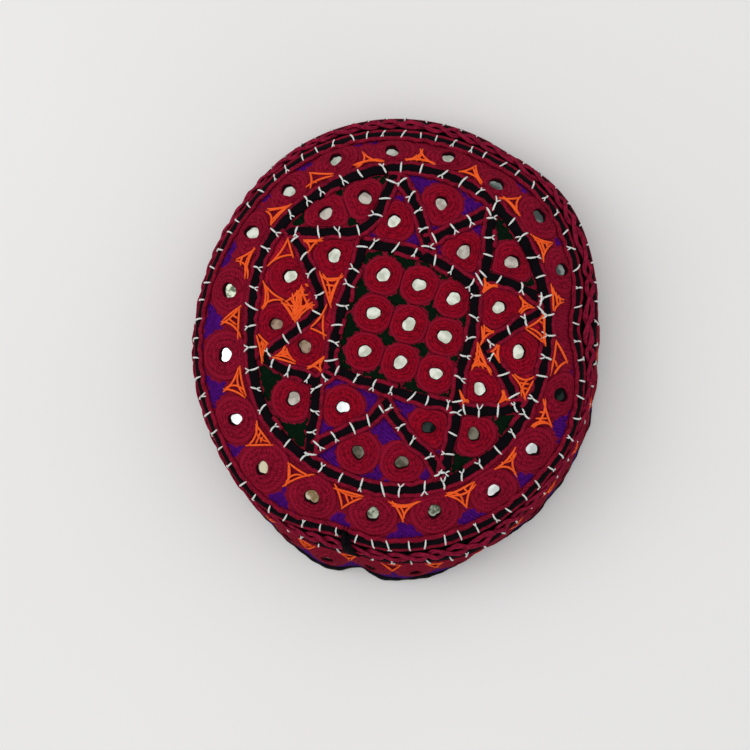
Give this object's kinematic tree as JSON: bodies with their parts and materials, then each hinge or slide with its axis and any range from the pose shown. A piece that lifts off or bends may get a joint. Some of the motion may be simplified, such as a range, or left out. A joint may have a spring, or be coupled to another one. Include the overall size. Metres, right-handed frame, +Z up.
{
  "type": "embroidered mirror-work cap",
  "caption": "Low brimless cap: domed embroidered crown with mirror roundels and a black star of tapes, wavy braid and a flared band.",
  "frame": {"origin": "on the table under the middle of the cap's box", "axes": "+Z up through the crown, +Y to the side away from the band's seam, +X to the right of that view"},
  "size_m": [0.168, 0.1924, 0.0517],
  "materials": {
    "embroidered_cloth": "crimson thread embroidery on cotton, with green, purple and orange fields",
    "black_tape": "matte black cotton tape with white thread ticks",
    "crimson_braid": "wavy crimson thread braid",
    "mirror_glass": "thin silvered glass discs"
  },
  "bodies": {
    "root": {"crown_panel": "embroidered_cloth", "side_band": "embroidered_cloth", "hem_binding": "black_tape", "crown_edge_tape": "black_tape", "band_tape": "black_tape", "star_tape": "black_tape", "seam_tape": "black_tape", "shoulder_braid": "crimson_braid", "centre_mirror_1": "mirror_glass", "centre_mirror_2": "mirror_glass", "centre_mirror_3": "mirror_glass", "centre_mirror_4": "mirror_glass", "centre_mirror_5": "mirror_glass", "centre_mirror_6": "mirror_glass", "centre_mirror_7": "mirror_glass", "centre_mirror_8": "mirror_glass", "centre_mirror_9": "mirror_glass", "star_green_mirror_1": "mirror_glass", "star_green_mirror_2": "mirror_glass", "star_green_mirror_3": "mirror_glass", "star_green_mirror_4": "mirror_glass", "star_green_mirror_5": "mirror_glass", "star_purple_mirror_1": "mirror_glass", "star_purple_mirror_2": "mirror_glass", "star_purple_mirror_3": "mirror_glass", "star_purple_mirror_4": "mirror_glass", "star_purple_mirror_5": "mirror_glass", "star_purple_mirror_6": "mirror_glass", "star_purple_mirror_7": "mirror_glass", "star_orange_mirror_1": "mirror_glass", "star_orange_mirror_2": "mirror_glass", "star_orange_mirror_3": "mirror_glass", "star_orange_mirror_4": "mirror_glass", "star_orange_mirror_5": "mirror_glass", "star_orange_mirror_6": "mirror_glass", "star_orange_mirror_7": "mirror_glass", "border_mirror_1": "mirror_glass", "border_mirror_2": "mirror_glass", "border_mirror_3": "mirror_glass", "border_mirror_4": "mirror_glass", "border_mirror_5": "mirror_glass", "border_mirror_6": "mirror_glass", "border_mirror_7": "mirror_glass", "border_mirror_8": "mirror_glass", "border_mirror_9": "mirror_glass", "border_mirror_10": "mirror_glass", "border_mirror_11": "mirror_glass", "border_mirror_12": "mirror_glass", "border_mirror_13": "mirror_glass", "border_mirror_14": "mirror_glass", "border_mirror_15": "mirror_glass", "border_mirror_16": "mirror_glass", "border_mirror_17": "mirror_glass", "border_mirror_18": "mirror_glass"}
  },
  "joints": []
}
